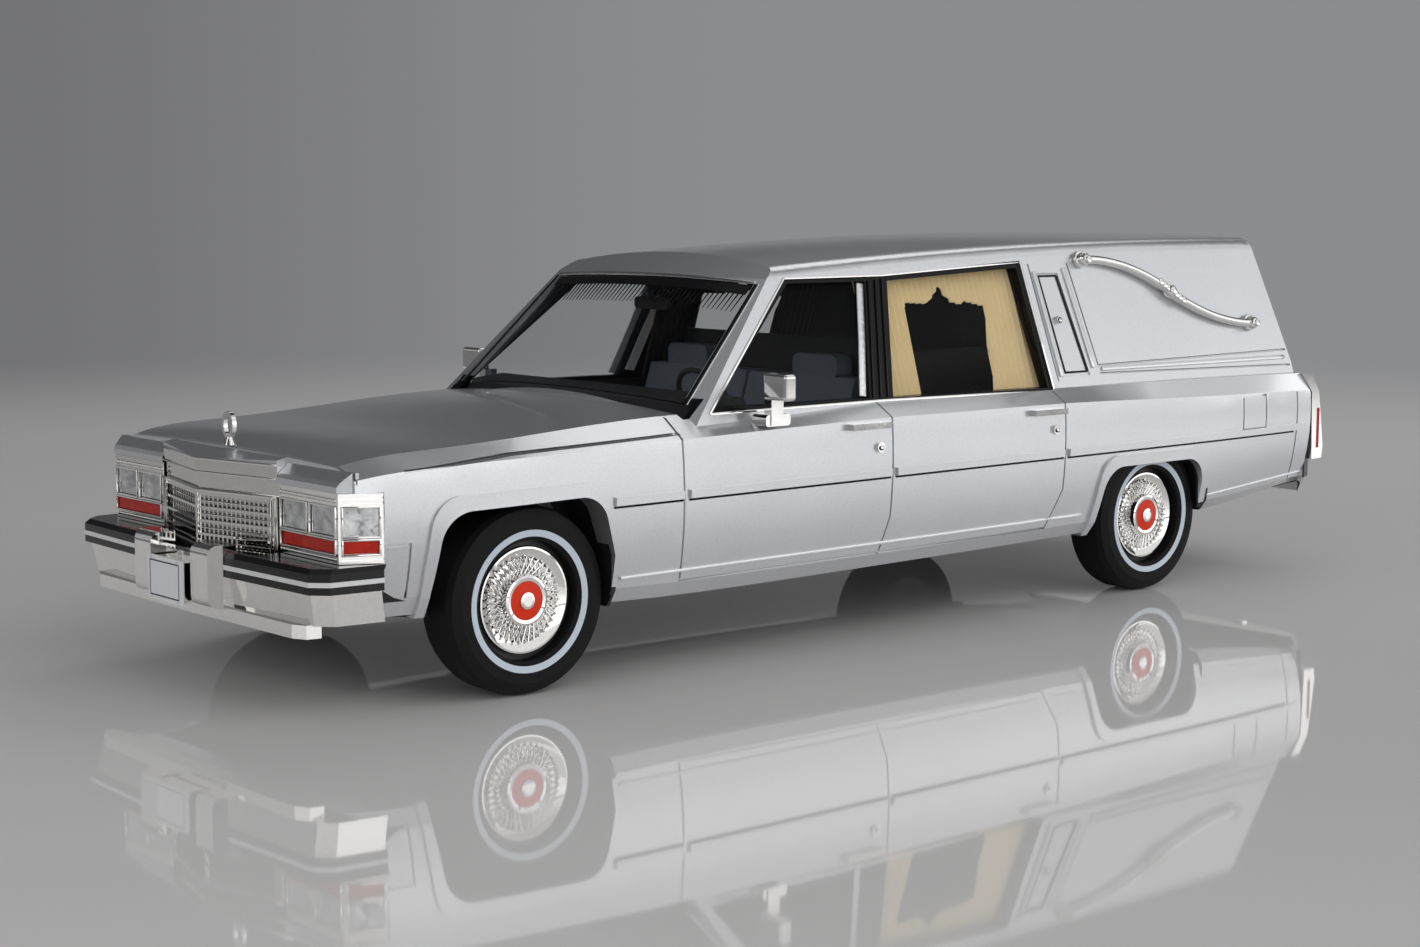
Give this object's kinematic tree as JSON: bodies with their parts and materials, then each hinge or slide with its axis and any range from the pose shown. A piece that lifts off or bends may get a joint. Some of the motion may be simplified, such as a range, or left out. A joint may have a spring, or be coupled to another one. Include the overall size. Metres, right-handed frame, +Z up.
{
  "type": "scale model hearse",
  "caption": "Display model of a silver hearse at 1:43 with rolling wheels, landau bars, curtained side windows and chrome trim.",
  "frame": {"origin": "on the ground under the middle of the model's length and width", "axes": "+X to the nose, +Y to the driver's side, +Z up"},
  "size_m": [0.141, 0.051, 0.039],
  "materials": {
    "body_paint": "silver metallic lacquer, gloss",
    "chassis_black": "satin black",
    "cabin_black": "matt black",
    "seat_blue": "satin blue grey",
    "curtain_cream": "satin cream, moulded pleats",
    "window_black": "gloss black",
    "clear_glazing": "clear",
    "chrome_trim": "bright plate",
    "lamp_clear": "clear, fluted",
    "lamp_red": "transparent red orange",
    "rubber_black": "satin",
    "stripe_white": "gloss white",
    "plate_white": "gloss white, black border",
    "tyre_black": "fine tread",
    "whitewall": "pale band",
    "wheel_black": "satin black",
    "hub_red": "red orange enamel",
    "axle_steel": "plain"
  },
  "bodies": {
    "root": {"body_shell": "body_paint", "base_plate": "chassis_black", "interior_tub": "cabin_black", "dashboard": "cabin_black", "front_seat": "seat_blue", "steering_wheel": "cabin_black", "interior_mirror": "cabin_black", "curtains_left": "curtain_cream", "curtains_right": "curtain_cream", "side_window_frames": "window_black", "front_door_glass": "clear_glazing", "rear_door_glass": "clear_glazing", "windshield_glass": "clear_glazing", "tail_glass": "clear_glazing", "vent_panels": "window_black", "side_mouldings": "chrome_trim", "grille": "chrome_trim", "lamp_bezels": "chrome_trim", "lamp_lenses": "lamp_clear", "turn_lenses": "lamp_red", "front_bumper": "chrome_trim", "front_rub_strips": "rubber_black", "front_stripes": "stripe_white", "front_valance": "chrome_trim", "front_number_plate": "plate_white", "rear_bumper": "chrome_trim", "rear_rub_strip": "rubber_black", "rear_number_plate": "plate_white", "tail_lamp_housings": "chrome_trim", "tail_lenses": "lamp_red", "rear_door_handle": "chrome_trim", "door_mirror_left": "chrome_trim", "door_mirror_right": "chrome_trim", "door_handles": "chrome_trim", "landau_bar_left": "chrome_trim", "landau_bar_right": "chrome_trim", "hood_ornament": "chrome_trim"},
    "front_wheelset": {"front_axle": "axle_steel", "front_tyres": "tyre_black", "front_whitewalls": "whitewall", "front_wheels": "wheel_black", "front_wheel_covers": "chrome_trim", "front_hub_discs": "hub_red", "front_hub_bosses": "chrome_trim"},
    "rear_wheelset": {"rear_axle": "axle_steel", "rear_tyres": "tyre_black", "rear_whitewalls": "whitewall", "rear_wheels": "wheel_black", "rear_wheel_covers": "chrome_trim", "rear_hub_discs": "hub_red", "rear_hub_bosses": "chrome_trim"}
  },
  "joints": [
    {"name": "front_axle_spin", "type": "hinge", "parent": "root", "child": "front_wheelset", "pos_m": [0.047, 0, 0.00827], "axis": [0, 1, 0], "continuous": true},
    {"name": "rear_axle_spin", "type": "hinge", "parent": "root", "child": "rear_wheelset", "pos_m": [-0.03836, 0, 0.00827], "axis": [0, 1, 0], "continuous": true}
  ]
}
